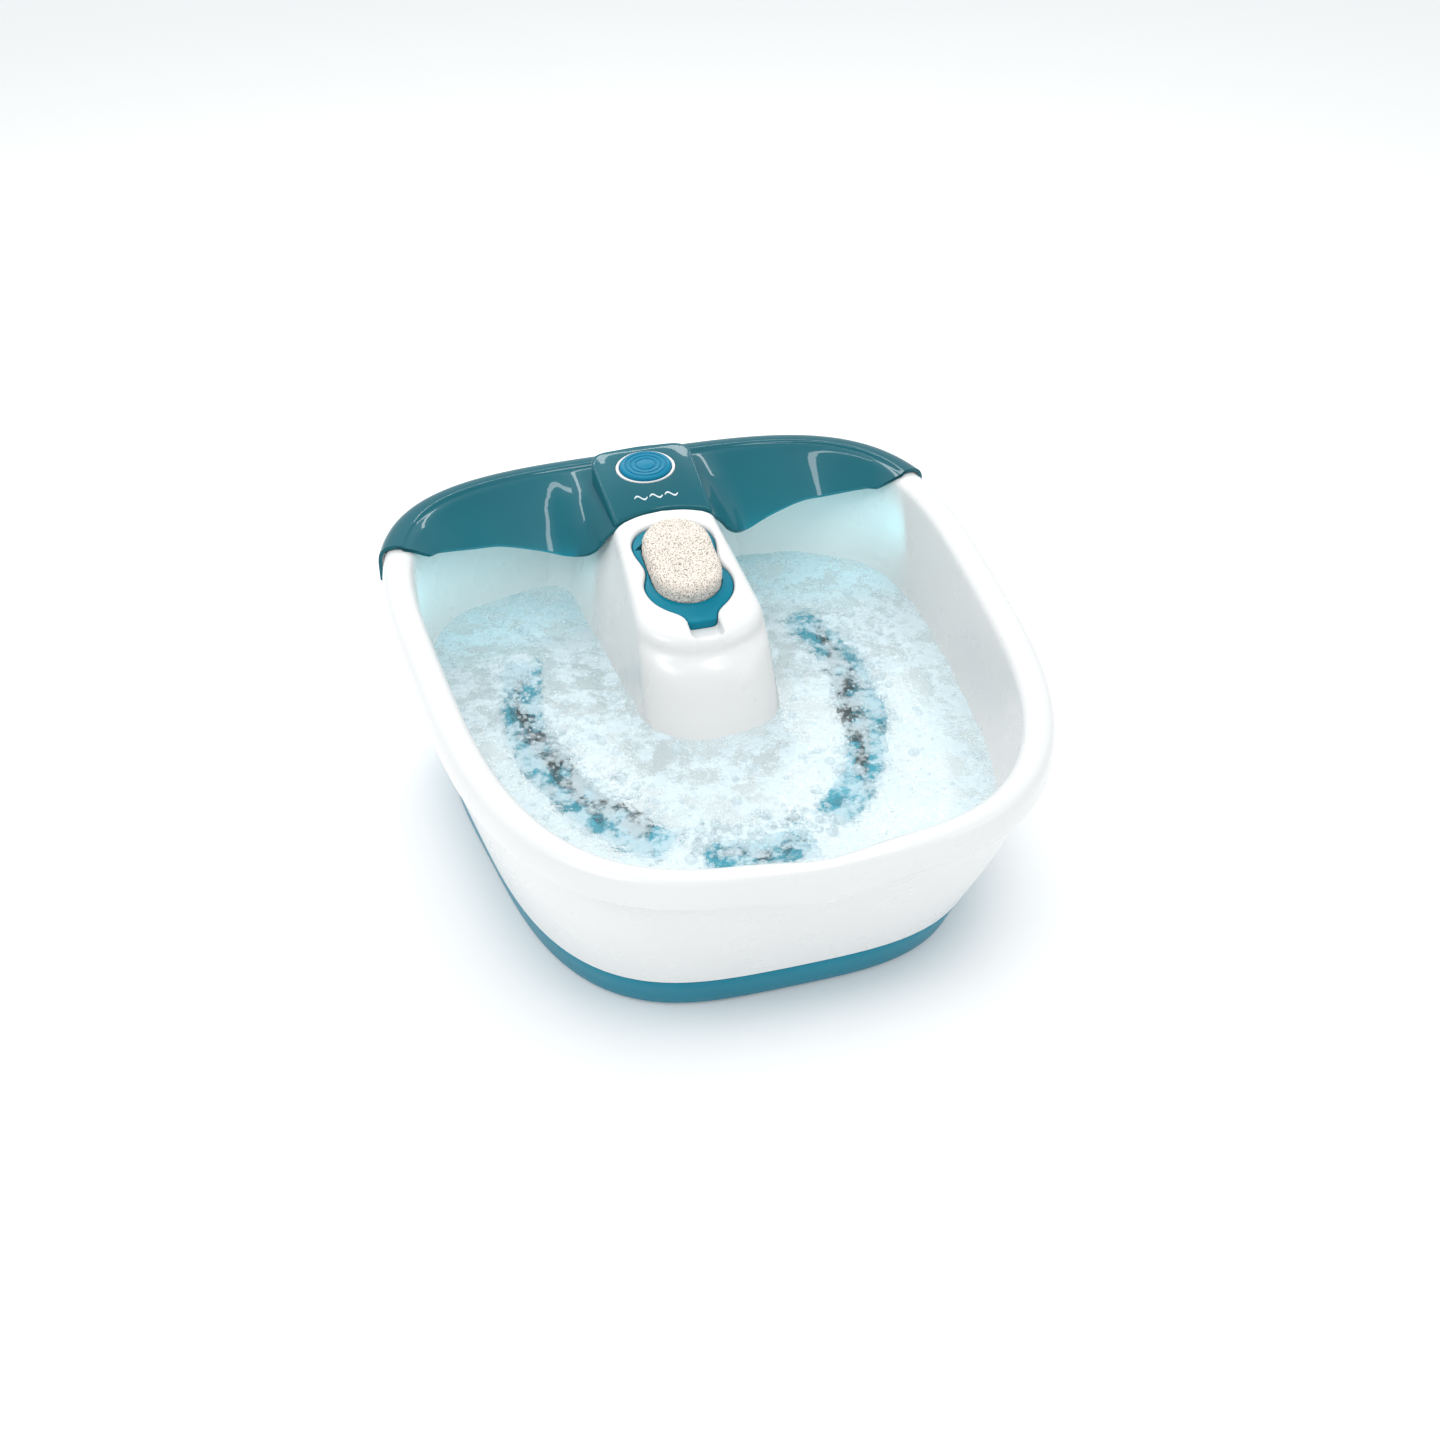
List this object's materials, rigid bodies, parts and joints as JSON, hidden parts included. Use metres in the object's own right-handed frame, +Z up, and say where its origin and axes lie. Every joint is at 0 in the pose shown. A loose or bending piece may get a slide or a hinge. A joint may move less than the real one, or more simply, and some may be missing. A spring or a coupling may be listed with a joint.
{
  "type": "pedicure foot bath",
  "caption": "Flared basin for both feet with a rolled rim and pouring lip, a central tower with a lift-out pumice stone, a clip-over splash guard with a toe button, and a bubble blower.",
  "frame": {"origin": "on the table under the middle of the bath's bounding box", "axes": "+Z up; -Y towards the pouring lip at the front, +Y towards the splash guard at the back; +X to the right of someone facing +Y"},
  "size_m": [0.3512, 0.4092, 0.1637],
  "materials": {
    "pearl_plastic": "pearly white, smooth",
    "teal_plastic": "satin teal",
    "guard_plastic": "high gloss, deep teal",
    "button_plastic": "satin blue-teal",
    "pumice": "open-pored, matt",
    "steel": "plain",
    "black_plastic": "matt",
    "rubber": "matt",
    "natural_plastic": "unpainted",
    "copper_and_iron": "wound, varnished",
    "ferrite": "matt",
    "board": "lacquered circuit board"
  },
  "bodies": {
    "bath": {"basin": "pearl_plastic", "outer_body": "pearl_plastic", "button_bezel": "pearl_plastic", "base_pan": "teal_plastic", "massage_strip_right": "teal_plastic", "massage_strip_left": "teal_plastic", "bubble_strip_front": "teal_plastic", "splash_guard": "guard_plastic", "button_spring": "steel", "motor_can": "steel", "guard_screw_left": "steel", "guard_screw_right": "steel", "bracket_screw_left": "steel", "bracket_screw_right": "steel", "switch_bracket": "natural_plastic", "air_manifold": "natural_plastic", "motor_end_cap": "natural_plastic", "switch_body": "black_plastic", "blower_housing": "black_plastic", "blower_cover": "black_plastic", "motor_cradle": "black_plastic", "mains_lead": "black_plastic", "motor_lead": "black_plastic", "switch_lead": "black_plastic", "air_hose": "rubber", "cord_gland": "rubber", "magnet_right": "ferrite", "magnet_left": "ferrite", "rectifier_board": "board", "foot_back_right": "rubber", "foot_back_left": "rubber", "foot_front_right": "rubber", "foot_front_left": "rubber", "isolator_1": "rubber", "isolator_2": "rubber", "isolator_3": "rubber", "case_screw_1": "steel", "case_screw_2": "steel", "case_screw_3": "steel", "case_screw_4": "steel", "case_screw_5": "steel", "case_screw_6": "steel", "cradle_screw_1": "steel", "cradle_screw_2": "steel", "cradle_screw_3": "steel"},
    "toe_button_body": {"toe_button": "button_plastic"},
    "plunger_body": {"switch_plunger": "natural_plastic"},
    "rotor": {"motor_shaft": "steel", "impeller": "natural_plastic", "armature": "copper_and_iron"},
    "pumice_attachment": {"pumice_holder": "teal_plastic", "pumice_stone": "pumice"}
  },
  "joints": [
    {"name": "button_press", "type": "slide", "parent": "bath", "child": "toe_button_body", "axis": [0, 0.2251, -0.9743], "range_m": [0, 0.0025], "stiffness_N_per_m": 900, "springref_m": -0.002, "deforming": ["button_spring"]},
    {"name": "plunger_press", "type": "slide", "parent": "bath", "child": "plunger_body", "axis": [0, 0.2251, -0.9743], "range_m": [0, 0.0025]},
    {"name": "rotor_spin", "type": "hinge", "parent": "bath", "child": "rotor", "pos_m": [0, 0.06035, 0.05], "axis": [0, 0, 1], "continuous": true},
    {"name": "pumice_lift", "type": "slide", "parent": "bath", "child": "pumice_attachment", "axis": [0, -0.1867, 0.9824], "range_m": [0, 0.04]}
  ],
  "couplings": [
    {"joint": "plunger_press", "follows": "button_press", "ratio": 1}
  ]
}
